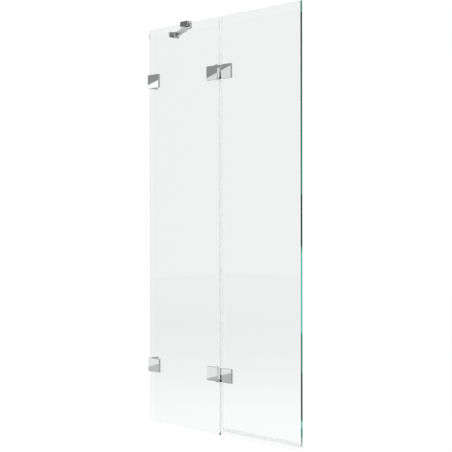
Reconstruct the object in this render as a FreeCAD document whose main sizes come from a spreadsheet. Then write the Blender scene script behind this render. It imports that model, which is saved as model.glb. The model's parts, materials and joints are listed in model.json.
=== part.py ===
"""Two-panel glass bath screen as a parametric FreeCAD document.

A fixed pane stands on the bath rim and is held to the wall by two clamps and a stabiliser arm.
A swinging pane hangs on it by two glass-to-glass hinges and carries the seals.

Frame: X runs along the screen away from the wall (X = 0), Y points into the bath with the glass
centred on Y = 0, so the outside is -Y, and Z points up from the bath rim. Millimetres.
"""

import FreeCAD, Part
import os
import re

import Sketcher

# Driving dimensions: alias, size in millimetres, meaning.
DIMENSIONS = [
    ("screen_height", 1500, "rim to top edge of both panes"),
    ("glass_thickness", 8, "toughened glass"),
    ("glass_arris", 0.8, "ground bevel along the glass edges"),
    ("fixed_glass_width", 395, "pane held to the wall"),
    ("door_glass_width", 397, "pane that swings"),
    ("wall_gap", 3, "wall to the fixed pane"),
    ("panel_gap", 5, "between the two panes"),
    ("door_rim_gap", 18, "bath rim to the lower edge of the swinging pane"),
    ("fitting_inset", 200, "glass edge to the middle of a clamp or hinge"),
    ("fitting_height", 51, "clamp plates and hinge leaves"),
    ("plate_thickness", 7.5, "clamp plates and hinge leaves"),
    ("plate_corner", 1.5, "corner radius of plates seen from the front"),
    ("plate_edge", 0.6, "rounding along the front edges of plates"),
    ("gasket_thickness", 1, "sheet between metal and glass"),
    ("gasket_inset", 2, "gasket edge behind the plate edge"),
    ("clamp_width", 64, "front plate of a wall clamp"),
    ("bolt_spacing", 26, "between the two bolts of a clamp or leaf"),
    ("bolt_radius", 3, "M6 shank"),
    ("bolt_reach", 5, "thread length inside a plate"),
    ("bolt_play", 0.05, "between a bolt and its hole"),
    ("socket_flats", 4, "hexagon socket across flats"),
    ("socket_depth", 3, "hexagon socket"),
    ("bracket_reach", 38, "wall bracket along the glass"),
    ("bracket_depth", 30, "wall bracket along the wall, from the glass leg"),
    ("bracket_wall_leg", 5, "thickness of the leg on the wall"),
    ("bracket_glass_leg", 6, "thickness of the leg on the glass"),
    ("bracket_bend", 3, "inner radius of the bracket"),
    ("clamp_bolt_offset", 22, "wall to the clamp bolts"),
    ("clamp_bolt_head", 2.6, "depth of the countersunk head"),
    ("sleeve_radius", 5, "nylon sleeve round a clamp bolt"),
    ("wall_screw_radius", 2.75, "hole for a wall screw"),
    ("wall_screw_sink", 2, "countersink of a wall screw"),
    ("wall_screw_spacing", 26, "between the wall screws of a bracket"),
    ("fixed_leaf_width", 58, "hinge leaf on the fixed pane, with its knuckle"),
    ("knuckle_width", 11, "raised band of the fixed leaf"),
    ("knuckle_rise", 0.8, "band proud of the leaf's face"),
    ("knuckle_overlap", 2.5, "band proud of the leaf's top and bottom"),
    ("pivot_offset", 12, "edge of the fixed pane to the hinge axis"),
    ("door_leaf_width", 58.5, "hinge axis to the far edge of the door leaf"),
    ("ear_height", 9.5, "upper and lower ear that hold the pin"),
    ("leaf_step", 9, "hinge axis to the plate of the door leaf"),
    ("leaf_web", 4, "web between the door leaf's plate and its barrel"),
    ("barrel_radius", 3, "barrel of the door leaf and noses of the ears"),
    ("pin_radius", 1.6, "hinge pin"),
    ("pin_play", 0.05, "running clearance round the pin"),
    ("bush_wall", 0.5, "bearing bush"),
    ("bush_flange", 0.5, "bush flange between barrel and ear"),
    ("bush_length", 9, "bush inside the barrel"),
    ("bush_end_play", 0.1, "between bush flange and ear"),
    ("fixed_bolt_offset", 24, "left edge of the fixed leaf to its bolts"),
    ("door_bolt_offset", 33.5, "hinge axis to the bolts of the door leaf"),
    ("flush_sleeve_radius", 6, "flush bolt where it passes the glass"),
    ("flush_sink", 4, "depth and flare of the flush bolt head"),
    ("flush_play", 0.3, "between a flush bolt and the glass"),
    ("seal_wall", 1, "clear seal profiles"),
    ("side_seal_leg", 10, "legs of the upright seal on the swinging pane"),
    ("side_seal_bulb", 3, "half width of the bulb in the panel gap"),
    ("side_seal_bore", 1.1, "hollow in the bulb"),
    ("side_seal_play", 0.4, "bulb to the fixed pane"),
    ("side_seal_lift", 7, "bath rim to the lower end of the upright seal"),
    ("seal_fitting_gap", 1, "seal end to a hinge or to the next seal"),
    ("rim_seal_leg", 14, "legs of the seal under the swinging pane"),
    ("rim_seal_lip", 1.2, "thickness of the wiping lip"),
    ("rim_seal_play", 1, "lip to the bath rim"),
    ("drip_reach", 6, "drip fin beyond the seal, towards the bath"),
    ("drip_fall", 7, "drip fin below the seal's web"),
    ("stabiliser_height", 25, "glass clamp of the stabiliser"),
    ("stabiliser_offset", 211, "wall to the middle of the stabiliser's glass clamp"),
    ("top_clamp_width", 42, "glass clamp along the screen"),
    ("top_clamp_cap", 6, "glass clamp above the glass"),
    ("top_clamp_front", 3.5, "front jaw"),
    ("top_clamp_front_height", 19, "front jaw, shorter than the back one"),
    ("top_clamp_back", 12, "back jaw"),
    ("top_clamp_round", 4, "rounded upper back edge"),
    ("liner_thickness", 1, "liner between the jaws and the glass"),
    ("liner_inset", 1, "liner edge inside the clamp's edge"),
    ("grub_radius", 2.5, "grub screws of the glass clamp"),
    ("grub_spacing", 28, "between the two grub screws"),
    ("grub_depth", 14, "top of the clamp to the grub screws"),
    ("arm_height", 18, "flat bar of the stabiliser"),
    ("arm_thickness", 10, "flat bar of the stabiliser"),
    ("arm_play", 0.3, "bar to the ears above and below it"),
    ("arm_edge", 0.8, "rounding of the bar's long edges"),
    ("arm_pin_radius", 2.5, "pivot pins of the bar"),
    ("lug_radius", 6, "ears round the pivot pins"),
    ("glass_pivot_gap", 8, "back jaw to the pivot at the glass"),
    ("wall_pivot_gap", 12, "wall plate to the pivot at the wall"),
    ("wall_plate_offset", 125, "glass plane to the middle of the wall plate"),
    ("wall_plate_width", 48, "wall plate along the wall"),
    ("wall_plate_height", 22, "wall plate and its pivot ears"),
    ("wall_plate_thickness", 6, "wall plate"),
    ("wall_plate_corner", 4, "corner radius of the wall plate"),
    ("wall_plate_screw_radius", 2.25, "hole for a wall screw"),
    ("wall_plate_screw_spacing", 31, "between the wall plate's screws"),
]
ALIASES = {alias for alias, size, meaning in DIMENSIONS}

# Places worked out from the driving dimensions.
HALF_GLASS = "(glass_thickness / 2)"
FIXED_EDGE = "(wall_gap + fixed_glass_width)"
DOOR_EDGE = f"({FIXED_EDGE} + panel_gap)"
PIVOT_X = f"({FIXED_EDGE} + pivot_offset)"
FRONT_SEAT = f"(-{HALF_GLASS} - gasket_thickness)"
BACK_SEAT = f"({HALF_GLASS} + gasket_thickness)"
BUSH_RADIUS = "(pin_radius + pin_play + bush_wall)"
BARREL_HALF = "(fitting_height / 2 - ear_height - bush_flange - bush_end_play)"
FLUSH_HOLE = "(flush_sleeve_radius + flush_play)"
LEVELS = {
    "upper": "(screen_height - fitting_inset)",
    "lower": "(door_rim_gap + fitting_inset)",
}
STABILISER_LEVEL = "(screen_height + top_clamp_cap - stabiliser_height / 2)"
CLAMP_BACK_FACE = f"({HALF_GLASS} + liner_thickness + top_clamp_back)"
GLASS_PIVOT_Y = f"({CLAMP_BACK_FACE} + glass_pivot_gap)"
WALL_PIVOT_X = "(wall_plate_thickness + wall_pivot_gap)"
CLAMP_LUG = "((stabiliser_height - arm_height) / 2 - arm_play)"
WALL_LUG = "((wall_plate_height - arm_height) / 2 - arm_play)"

doc = FreeCAD.newDocument("bath_screen")


def make_sheet():
    """Write the driving dimensions into the spreadsheet, one row each."""
    sheet = doc.addObject("Spreadsheet::Sheet", "Dims")
    for row, (alias, size, meaning) in enumerate(DIMENSIONS, 1):
        sheet.set(f"A{row}", meaning)
        sheet.set(f"B{row}", str(size))
        sheet.setAlias(f"B{row}", alias)
    doc.recompute()
    return sheet


sheet = make_sheet()


def bound(formula):
    """Return the formula with each alias pointing at its spreadsheet cell."""
    def cell(word):
        return f"Dims.{word.group()}" if word.group() in ALIASES else word.group()
    return re.sub(r"[a-z_]+", cell, formula)


def size_of(formula):
    """Work a formula out from the spreadsheet."""
    return float(sheet.evalExpression(bound(formula)))


def place(piece, x="0", y="0", z="0"):
    """Bind the position of a piece to three formulas."""
    for axis, formula in zip("xyz", (x, y, z)):
        piece.setExpression(f"Placement.Base.{axis}", bound(formula))


def new_body(label):
    """Start a sub-part."""
    body = doc.addObject("PartDesign::Body", label)
    body.Label = label
    return body


def new_sketch(body, plane, offset=None):
    """Attach a sketch to one of the body's own origin planes, moved along its normal by a formula."""
    sketch = body.newObject("Sketcher::SketchObject", f"{body.Name}_sketch")
    face = next(item for item in body.Origin.OriginFeatures if item.Role == f"{plane}_Plane")
    sketch.AttachmentSupport = [(face, "")]
    sketch.MapMode = "FlatFace"
    if offset:
        sketch.setExpression("AttachmentOffset.Base.z", bound(offset))
    return sketch


def pin_point(sketch, curve, point, x, y):
    """Hold one point of a sketch at the coordinates that two formulas give."""
    for kind, formula, axis in (("DistanceX", x, -2), ("DistanceY", y, -1)):
        if formula == "0":
            sketch.addConstraint(Sketcher.Constraint("PointOnObject", curve, point, axis))
        else:
            start = size_of(formula)
            index = sketch.addConstraint(Sketcher.Constraint(kind, -1, 1, curve, point, start))
            sketch.setExpression(f"Constraints[{index}]", bound(formula))


def outline(sketch, points):
    """Draw a closed polygon through points given as pairs of formulas."""
    first = sketch.GeometryCount
    corners = [FreeCAD.Vector(size_of(x), size_of(y), 0) for x, y in points]
    count = len(corners)
    for index in range(count):
        sketch.addGeometry(Part.LineSegment(corners[index], corners[(index + 1) % count]))
    for index in range(count):
        following = first + (index + 1) % count
        sketch.addConstraint(Sketcher.Constraint("Coincident", first + index, 2, following, 1))
    for index, (x, y) in enumerate(points):
        pin_point(sketch, first + index, 1, x, y)


def rectangle(sketch, left, bottom, right, top):
    """Draw an upright rectangle between two opposite corners."""
    outline(sketch, [(left, bottom), (right, bottom), (right, top), (left, top)])


def circle(sketch, x, y, radius):
    """Draw a circle whose centre and radius follow formulas."""
    middle = FreeCAD.Vector(size_of(x), size_of(y), 0)
    index = sketch.addGeometry(Part.Circle(middle, FreeCAD.Vector(0, 0, 1), size_of(radius)))
    pin_point(sketch, index, 3, x, y)
    rule = sketch.addConstraint(Sketcher.Constraint("Radius", index, size_of(radius)))
    sketch.setExpression(f"Constraints[{rule}]", bound(radius))


def hexagon(sketch, flats):
    """Draw a hexagon round the sketch's origin, its size given across flats."""
    far = f"{flats} / sqrt(3)"
    near = f"{flats} / sqrt(3) / 2"
    half = f"{flats} / 2"
    right = [(near, f"-{half}"), (far, "0"), (near, half)]
    left = [(f"-{near}", half), (f"-{far}", "0"), (f"-{near}", f"-{half}")]
    outline(sketch, right + left)


def pad(body, sketch, length, midplane=False):
    """Raise a sketch into a solid."""
    feature = body.newObject("PartDesign::Pad", f"{body.Name}_pad")
    feature.Profile = sketch
    feature.Midplane = midplane
    feature.setExpression("Length", bound(length))
    doc.recompute()


def pocket(body, sketch, depth=None, reverse=False):
    """Cut a sketch into the body to a depth, or right through it both ways."""
    before = body.Shape.Volume
    feature = body.newObject("PartDesign::Pocket", f"{body.Name}_pocket")
    feature.Profile = sketch
    feature.Reversed = reverse
    if depth:
        feature.setExpression("Length", bound(depth))
    else:
        feature.Type = "ThroughAll"
        feature.Midplane = True
    doc.recompute()
    if body.Shape.Volume >= before:
        raise RuntimeError(f"a cut in {body.Label} removes nothing")


def revolve(body, sketch):
    """Turn a sketch into a solid round its upright axis."""
    feature = body.newObject("PartDesign::Revolution", f"{body.Name}_turned")
    feature.Profile = sketch
    feature.ReferenceAxis = (sketch, ["V_Axis"])
    feature.Angle = 360
    doc.recompute()


def dress(body, kind, size, wanted):
    """Round (Fillet) or bevel (Chamfer) the edges of a body that pass a test."""
    tip = body.Tip
    names = [f"Edge{n}" for n, edge in enumerate(tip.Shape.Edges, 1) if wanted(edge)]
    feature = body.newObject(f"PartDesign::{kind}", f"{body.Name}_edges")
    feature.Base = (tip, names)
    feature.setExpression("Radius" if kind == "Fillet" else "Size", bound(size))
    doc.recompute()


def runs_along(edge, axis):
    """Tell whether an edge is a straight line along the X, Y or Z axis."""
    if edge.Curve.TypeId != "Part::GeomLine":
        return False
    return abs(getattr(edge.tangentAt(edge.FirstParameter), axis)) > 0.999


def lies_at(edge, axis, value):
    """Tell whether a whole edge lies at one value of X, Y or Z."""
    low = getattr(edge.BoundBox, f"{axis.upper()}Min")
    high = getattr(edge.BoundBox, f"{axis.upper()}Max")
    return abs(low - value) < 1e-4 and abs(high - value) < 1e-4


def is_round(edge, radius):
    """Tell whether an edge is a circle of the radius that a formula gives."""
    return edge.Curve.TypeId == "Part::GeomCircle" and abs(edge.Curve.Radius - size_of(radius)) < 1e-4


def group(label, bodies):
    """Gather like solids under one name."""
    compound = doc.addObject("Part::Compound", label)
    compound.Label = label
    compound.Links = bodies
    return compound


def bolt_rows():
    """Give the heights of the two bolts of a fitting, about its middle."""
    return ("bolt_spacing / 2", "-bolt_spacing / 2")


def glass_pane(label, left, width, bottom, clear_holes, flush_holes):
    """Make a pane with a ground arris, plain holes and holes countersunk on the bath side.

    Holes are pairs of formulas: distance from the pane's left edge and height above the rim.
    """
    body = new_body(label)
    sketch = new_sketch(body, "XZ")
    rectangle(sketch, "0", bottom, width, "screen_height")
    for x, z in clear_holes:
        circle(sketch, x, z, "sleeve_radius")
    for x, z in flush_holes:
        circle(sketch, x, z, FLUSH_HOLE)
    pad(body, sketch, "glass_thickness")
    dress(body, "Chamfer", "glass_arris", lambda edge: edge.Curve.TypeId == "Part::GeomLine"
          and not runs_along(edge, "y"))
    dress(body, "Chamfer", "flush_sink", lambda edge: is_round(edge, FLUSH_HOLE)
          and lies_at(edge, "y", 0))
    place(body, left, HALF_GLASS)
    return body


def gasket(label, x, y, z, width, hole_offset, hole_radius):
    """Make a flat gasket, placed by its left edge, outer face side and middle height."""
    body = new_body(label)
    sketch = new_sketch(body, "XZ")
    half = "(fitting_height / 2 - gasket_inset)"
    rectangle(sketch, "0", f"-{half}", width, half)
    for height in bolt_rows():
        circle(sketch, hole_offset, height, hole_radius)
    pad(body, sketch, "gasket_thickness")
    place(body, x, y, z)
    return body


def finish_plate(body, depth, left, right):
    """Round the plate's outer corners seen from the front, then its front edges."""
    half = size_of("fitting_height / 2")
    ends = [size_of(formula) for formula in (left, right) if formula]

    def is_corner(edge):
        at_end = any(lies_at(edge, "x", end) for end in ends)
        at_side = lies_at(edge, "z", half) or lies_at(edge, "z", -half)
        return runs_along(edge, "y") and at_end and at_side

    dress(body, "Fillet", "plate_corner", is_corner)
    dress(body, "Fillet", "plate_edge", lambda edge: lies_at(edge, "y", -size_of(depth)))


def thread_holes(body, x):
    """Sink the two blind threaded holes into the back of a plate or leaf."""
    sketch = new_sketch(body, "XZ")
    for height in bolt_rows():
        circle(sketch, x, height, "bolt_radius + bolt_play")
    pocket(body, sketch, "bolt_reach + bolt_play", reverse=True)


def clamp_plate(label, level):
    """Make the front plate of a wall clamp, flush with the wall edge of the glass."""
    body = new_body(label)
    sketch = new_sketch(body, "XZ")
    rectangle(sketch, "0", "-fitting_height / 2", "clamp_width", "fitting_height / 2")
    pad(body, sketch, "plate_thickness")
    finish_plate(body, "plate_thickness", "0", "clamp_width")
    thread_holes(body, "clamp_bolt_offset - wall_gap")
    place(body, "wall_gap", FRONT_SEAT, level)
    return body


def wall_bracket(label, level):
    """Make the angle behind the glass: one leg on the wall, one leg on the glass."""
    body = new_body(label)
    sketch = new_sketch(body, "XY", "-fitting_height / 2")
    depth = "(bracket_glass_leg + bracket_depth)"
    outline(sketch, [
        ("0", "0"), ("bracket_reach", "0"), ("bracket_reach", "bracket_glass_leg"),
        ("bracket_wall_leg", "bracket_glass_leg"), ("bracket_wall_leg", depth), ("0", depth),
    ])
    pad(body, sketch, "fitting_height")
    inner = size_of("bracket_wall_leg"), size_of("bracket_glass_leg")
    dress(body, "Fillet", "bracket_bend", lambda edge: runs_along(edge, "z")
          and lies_at(edge, "x", inner[0]) and lies_at(edge, "y", inner[1]))
    glass_holes = new_sketch(body, "XZ")
    for height in bolt_rows():
        circle(glass_holes, "clamp_bolt_offset", height, "bolt_radius + bolt_play")
    pocket(body, glass_holes)
    wall_holes = new_sketch(body, "YZ")
    for height in ("wall_screw_spacing / 2", "-wall_screw_spacing / 2"):
        circle(wall_holes, "bracket_glass_leg + bracket_depth / 2", height, "wall_screw_radius")
    pocket(body, wall_holes)
    dress(body, "Chamfer", "clamp_bolt_head", lambda edge: is_round(edge, "bolt_radius + bolt_play")
          and lies_at(edge, "y", inner[1]))
    dress(body, "Chamfer", "wall_screw_sink", lambda edge: is_round(edge, "wall_screw_radius")
          and lies_at(edge, "x", inner[0]))
    place(body, "0", BACK_SEAT, level)
    return body


def turned_bolt(name, profile, x, y, z):
    """Turn a bolt along Y, its head's face at Y = 0 towards the bath, with a hexagon socket."""
    body = new_body(name)
    sketch = new_sketch(body, "XY")
    outline(sketch, profile)
    revolve(body, sketch)
    socket = new_sketch(body, "XZ")
    hexagon(socket, "socket_flats")
    pocket(body, socket, "socket_depth", reverse=True)
    place(body, x, y, z)
    return body


def clamp_bolt(name, level, height):
    """Make a countersunk bolt from the wall bracket through the glass into the front plate."""
    seat = "(bracket_glass_leg + 2 * gasket_thickness + glass_thickness)"
    length = f"({seat} + bolt_reach)"
    profile = [
        ("0", "0"), ("bolt_radius + clamp_bolt_head", "0"), ("bolt_radius", "-clamp_bolt_head"),
        ("bolt_radius", f"-{length}"), ("0", f"-{length}"),
    ]
    face = f"({BACK_SEAT} + bracket_glass_leg)"
    return turned_bolt(name, profile, "clamp_bolt_offset", face, f"{level} + {height}")


def clamp_sleeve(name, level, height):
    """Make the nylon sleeve that keeps a clamp bolt off the glass."""
    body = new_body(name)
    sketch = new_sketch(body, "XZ")
    circle(sketch, "0", "0", "sleeve_radius - bolt_play")
    circle(sketch, "0", "0", "bolt_radius + bolt_play")
    pad(body, sketch, "glass_thickness")
    place(body, "clamp_bolt_offset", HALF_GLASS, f"{level} + {height}")
    return body


def flush_bolt(name, x, level, height):
    """Make a bolt whose cone lies flush in the bath side of the glass and screws into a leaf."""
    seat = "(glass_thickness + gasket_thickness)"
    length = f"({seat} + bolt_reach)"
    profile = [
        ("0", "0"), ("flush_sleeve_radius + flush_sink", "0"),
        ("flush_sleeve_radius", "-flush_sink"), ("flush_sleeve_radius", f"-{seat}"),
        ("bolt_radius", f"-{seat}"), ("bolt_radius", f"-{length}"), ("0", f"-{length}"),
    ]
    return turned_bolt(name, profile, x, HALF_GLASS, f"{level} + {height}")


def fixed_leaf(label, level):
    """Make the hinge leaf of the fixed pane: plate, raised knuckle band and two pin ears."""
    body = new_body(label)
    top = "fitting_height / 2"
    plate = new_sketch(body, "XZ")
    rectangle(plate, "-fixed_leaf_width", f"-{top}", "-knuckle_width / 2", top)
    pad(body, plate, "plate_thickness")
    finish_plate(body, "plate_thickness", "-fixed_leaf_width", None)
    band = new_sketch(body, "XZ")
    reach = "(fitting_height / 2 + knuckle_overlap)"
    rectangle(band, "-knuckle_width", f"-{reach}", "0", reach)
    pad(body, band, "plate_thickness + knuckle_rise")
    face = size_of("plate_thickness + knuckle_rise")
    dress(body, "Fillet", "plate_edge", lambda edge: lies_at(edge, "y", -face))
    for bottom in (f"-{top}", f"{top} - ear_height"):
        web = new_sketch(body, "XY", bottom)
        rectangle(web, "-knuckle_width / 2", "-2 * barrel_radius", "pivot_offset", "0")
        pad(body, web, "ear_height")
        nose = new_sketch(body, "XY", bottom)
        circle(nose, "pivot_offset", "-barrel_radius", "barrel_radius")
        pad(body, nose, "ear_height")
    bore = new_sketch(body, "XY")
    circle(bore, "pivot_offset", "-barrel_radius", "pin_radius")
    pocket(body, bore)
    thread_holes(body, "fixed_bolt_offset - fixed_leaf_width")
    place(body, FIXED_EDGE, FRONT_SEAT, level)
    return body


def door_leaf(label, level):
    """Make the hinge leaf of the swinging pane: plate, and a round barrel on a thinner web."""
    body = new_body(label)
    top = "fitting_height / 2"
    plate = new_sketch(body, "XZ")
    rectangle(plate, "leaf_step", f"-{top}", "door_leaf_width", top)
    pad(body, plate, "plate_thickness")
    finish_plate(body, "plate_thickness", None, "door_leaf_width")
    web = new_sketch(body, "XZ")
    rectangle(web, "0", f"-{BARREL_HALF}", "leaf_step + leaf_web", BARREL_HALF)
    pad(body, web, "leaf_web")
    barrel = new_sketch(body, "XY")
    circle(barrel, "0", "-barrel_radius", "barrel_radius")
    pad(body, barrel, f"2 * {BARREL_HALF}", midplane=True)
    bore = new_sketch(body, "XY")
    circle(bore, "0", "-barrel_radius", BUSH_RADIUS)
    pocket(body, bore)
    thread_holes(body, "door_bolt_offset")
    place(body, PIVOT_X, FRONT_SEAT, level)
    return body


def upright_pin(name, radius, height, x, y, z):
    """Make an upright pin with bevelled ends about a middle height."""
    body = new_body(name)
    sketch = new_sketch(body, "XY")
    circle(sketch, "0", "0", radius)
    pad(body, sketch, height, midplane=True)
    dress(body, "Chamfer", "plate_edge", lambda edge: is_round(edge, radius))
    place(body, x, y, z)
    return body


def hinge_bush(name, level, side):
    """Make a flanged bush for the upper (side 1) or lower (side -1) end of the door barrel."""
    body = new_body(name)
    inner = "(pin_radius + pin_play)"
    sketch = new_sketch(body, "XZ")
    ends = {"flange": f"{side} * bush_flange", "tube": f"{-side} * bush_length"}
    outline(sketch, [
        (inner, ends["tube"]), (BUSH_RADIUS, ends["tube"]), (BUSH_RADIUS, "0"),
        ("barrel_radius - bush_end_play", "0"),
        ("barrel_radius - bush_end_play", ends["flange"]), (inner, ends["flange"]),
    ])
    revolve(body, sketch)
    place(body, PIVOT_X, f"{FRONT_SEAT} - barrel_radius", f"{level} + {side} * {BARREL_HALF}")
    return body


def side_seal(label, bottom, top):
    """Make a length of the upright seal: a channel on the swinging pane with a bulb in the gap."""
    body = new_body(label)
    sketch = new_sketch(body, "XY")
    outer = f"({HALF_GLASS} + seal_wall)"
    nose = "(panel_gap - seal_wall - side_seal_play)"
    outline(sketch, [
        ("side_seal_leg", f"-{outer}"), ("side_seal_leg", f"-{HALF_GLASS}"),
        ("0", f"-{HALF_GLASS}"), ("0", HALF_GLASS), ("side_seal_leg", HALF_GLASS),
        ("side_seal_leg", outer), ("-seal_wall", outer), ("-seal_wall", "side_seal_bulb"),
        (f"-seal_wall - {nose}", "side_seal_bulb / 2"),
        (f"-seal_wall - {nose}", "-side_seal_bulb / 2"),
        ("-seal_wall", "-side_seal_bulb"), ("-seal_wall", f"-{outer}"),
    ])
    circle(sketch, f"-seal_wall - {nose} / 2", "0", "side_seal_bore")
    pad(body, sketch, f"{top} - {bottom}")
    place(body, DOOR_EDGE, "0", bottom)
    return body


def rim_seal(label):
    """Make the seal under the swinging pane: a channel, a wiping lip and a drip fin."""
    body = new_body(label)
    sketch = new_sketch(body, "YZ")
    outer = f"({HALF_GLASS} + seal_wall)"
    lip = "(rim_seal_lip / 2)"
    foot = "(rim_seal_play - door_rim_gap)"
    outline(sketch, [
        (f"-{outer}", "rim_seal_leg"), (f"-{outer}", "-seal_wall"), (f"-{lip}", "-seal_wall"),
        (f"-{lip}", foot), (lip, foot), (lip, "-seal_wall"),
        (f"{outer} - 2 * seal_wall", "-seal_wall"),
        (f"{outer} + drip_reach - seal_wall", "-drip_fall"),
        (f"{outer} + drip_reach", "-drip_fall"), (outer, "-seal_wall"),
        (outer, "rim_seal_leg"), (HALF_GLASS, "rim_seal_leg"),
        (HALF_GLASS, "0"), (f"-{HALF_GLASS}", "0"), (f"-{HALF_GLASS}", "rim_seal_leg"),
    ])
    start = "(side_seal_leg + seal_fitting_gap)"
    pad(body, sketch, f"door_glass_width - {start}")
    place(body, f"{DOOR_EDGE} + {start}", "0", "door_rim_gap")
    return body


def pivot_ears(body, bottoms, thickness, along, root, pivot):
    """Add flat ears from a root line to a pivot along X or Y, and drill their pin hole."""
    corners = [(root, "-lug_radius"), (pivot, "-lug_radius"), (pivot, "lug_radius"), (root, "lug_radius")]
    centre = (pivot, "0")
    if along == "y":
        corners = [(side, reach) for reach, side in reversed(corners)]
        centre = ("0", pivot)
    for bottom in bottoms:
        web = new_sketch(body, "XY", bottom)
        outline(web, corners)
        pad(body, web, thickness)
        nose = new_sketch(body, "XY", bottom)
        circle(nose, *centre, "lug_radius")
        pad(body, nose, thickness)
    hole = new_sketch(body, "XY")
    circle(hole, *centre, "arm_pin_radius")
    pocket(body, hole)


def top_clamp(label):
    """Make the stabiliser's clamp that straddles the top of the fixed pane, with two pivot ears."""
    body = new_body(label)
    jaw = f"({HALF_GLASS} + liner_thickness)"
    foot = "(top_clamp_cap - stabiliser_height)"
    front_foot = "(top_clamp_cap - top_clamp_front_height)"
    section = new_sketch(body, "YZ")
    outline(section, [
        (f"-{jaw} - top_clamp_front", front_foot), (f"-{jaw}", front_foot), (f"-{jaw}", "liner_thickness"),
        (jaw, "liner_thickness"), (jaw, foot), (CLAMP_BACK_FACE, foot),
        (CLAMP_BACK_FACE, "top_clamp_cap"), (f"-{jaw} - top_clamp_front", "top_clamp_cap"),
    ])
    pad(body, section, "top_clamp_width", midplane=True)
    back = size_of(CLAMP_BACK_FACE)
    cap = size_of("top_clamp_cap")
    dress(body, "Fillet", "top_clamp_round", lambda edge: runs_along(edge, "x")
          and lies_at(edge, "y", back) and lies_at(edge, "z", cap))
    half = size_of("top_clamp_width / 2")
    dress(body, "Fillet", "plate_edge", lambda edge: lies_at(edge, "x", half)
          or lies_at(edge, "x", -half))
    pivot_ears(body, (foot, f"top_clamp_cap - {CLAMP_LUG}"), CLAMP_LUG, "y",
               f"{CLAMP_BACK_FACE} - top_clamp_round", GLASS_PIVOT_Y)
    grubs = new_sketch(body, "XZ", f"-{CLAMP_BACK_FACE}")
    for x in ("grub_spacing / 2", "-grub_spacing / 2"):
        circle(grubs, x, "top_clamp_cap - grub_depth", "grub_radius + bolt_play")
    pocket(body, grubs, "top_clamp_back", reverse=True)
    place(body, "stabiliser_offset", "0", "screen_height")
    return body


def clamp_liner(label):
    """Make the channel-shaped liner between the top clamp and the glass."""
    body = new_body(label)
    sketch = new_sketch(body, "YZ")
    outer = f"({HALF_GLASS} + liner_thickness)"
    foot = "(top_clamp_cap - top_clamp_front_height + liner_inset)"
    outline(sketch, [
        (f"-{outer}", foot), (f"-{HALF_GLASS}", foot), (f"-{HALF_GLASS}", "0"), (HALF_GLASS, "0"),
        (HALF_GLASS, foot), (outer, foot), (outer, "liner_thickness"),
        (f"-{outer}", "liner_thickness"),
    ])
    pad(body, sketch, "top_clamp_width - 2 * liner_inset", midplane=True)
    place(body, "stabiliser_offset", "0", "screen_height")
    return body


def grub_screw(name, x):
    """Make a headless screw in the back jaw of the top clamp."""
    body = new_body(name)
    sketch = new_sketch(body, "XZ")
    circle(sketch, "0", "0", "grub_radius")
    pad(body, sketch, "top_clamp_back")
    socket = new_sketch(body, "XZ")
    hexagon(socket, "grub_radius")
    pocket(body, socket, "socket_depth", reverse=True)
    place(body, f"stabiliser_offset + {x}", CLAMP_BACK_FACE,
          "screen_height + top_clamp_cap - grub_depth")
    return body


def stabiliser_arm(label):
    """Make the flat bar between the two pivots, rounded about both pins."""
    body = new_body(label)
    along = f"(stabiliser_offset - {WALL_PIVOT_X})"
    across = f"(wall_plate_offset - {GLASS_PIVOT_Y})"
    length = f"sqrt({along} * {along} + {across} * {across})"
    half = "arm_thickness / 2"
    bar = new_sketch(body, "XY")
    rectangle(bar, "0", f"-{half}", length, half)
    pad(body, bar, "arm_height", midplane=True)
    for x in ("0", length):
        eye = new_sketch(body, "XY")
        circle(eye, x, "0", half)
        pad(body, eye, "arm_height", midplane=True)
    holes = new_sketch(body, "XY")
    for x in ("0", length):
        circle(holes, x, "0", "arm_pin_radius")
    pocket(body, holes)
    flat = size_of("arm_height / 2")
    dress(body, "Fillet", "arm_edge", lambda edge: not is_round(edge, "arm_pin_radius")
          and (lies_at(edge, "z", flat) or lies_at(edge, "z", -flat)))
    place(body, WALL_PIVOT_X, "wall_plate_offset", STABILISER_LEVEL)
    body.Placement.Rotation.Axis = FreeCAD.Vector(0, 0, 1)
    body.setExpression("Placement.Rotation.Angle", bound(f"-atan({across} / {along})"))
    return body


def wall_plate(label):
    """Make the stabiliser's plate on the wall, with two screw holes and two pivot ears."""
    body = new_body(label)
    half_width = "wall_plate_width / 2"
    half_height = "wall_plate_height / 2"
    face = new_sketch(body, "YZ")
    rectangle(face, f"-{half_width}", f"-{half_height}", half_width, half_height)
    pad(body, face, "wall_plate_thickness")
    dress(body, "Fillet", "wall_plate_corner", lambda edge: runs_along(edge, "x"))
    front = size_of("wall_plate_thickness")
    dress(body, "Fillet", "plate_edge", lambda edge: lies_at(edge, "x", front))
    screws = new_sketch(body, "YZ")
    for y in ("wall_plate_screw_spacing / 2", "-wall_plate_screw_spacing / 2"):
        circle(screws, y, "0", "wall_plate_screw_radius")
    pocket(body, screws)
    pivot_ears(body, (f"-{half_height}", f"{half_height} - {WALL_LUG}"), WALL_LUG, "x",
               "wall_plate_thickness / 2", WALL_PIVOT_X)
    place(body, "0", "wall_plate_offset", STABILISER_LEVEL)
    return body


def build_panes():
    """Make both panes with the holes that their fittings need."""
    clear = []
    fixed_flush = []
    door_flush = []
    for level in LEVELS.values():
        for height in bolt_rows():
            clear.append(("clamp_bolt_offset - wall_gap", f"{level} + {height}"))
            fixed_x = "fixed_glass_width - fixed_leaf_width + fixed_bolt_offset"
            fixed_flush.append((fixed_x, f"{level} + {height}"))
            door_x = "pivot_offset - panel_gap + door_bolt_offset"
            door_flush.append((door_x, f"{level} + {height}"))
    return [
        glass_pane("fixed_glass", "wall_gap", "fixed_glass_width", "0", clear, fixed_flush),
        glass_pane("door_glass", DOOR_EDGE, "door_glass_width", "door_rim_gap", [], door_flush),
    ]


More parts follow.
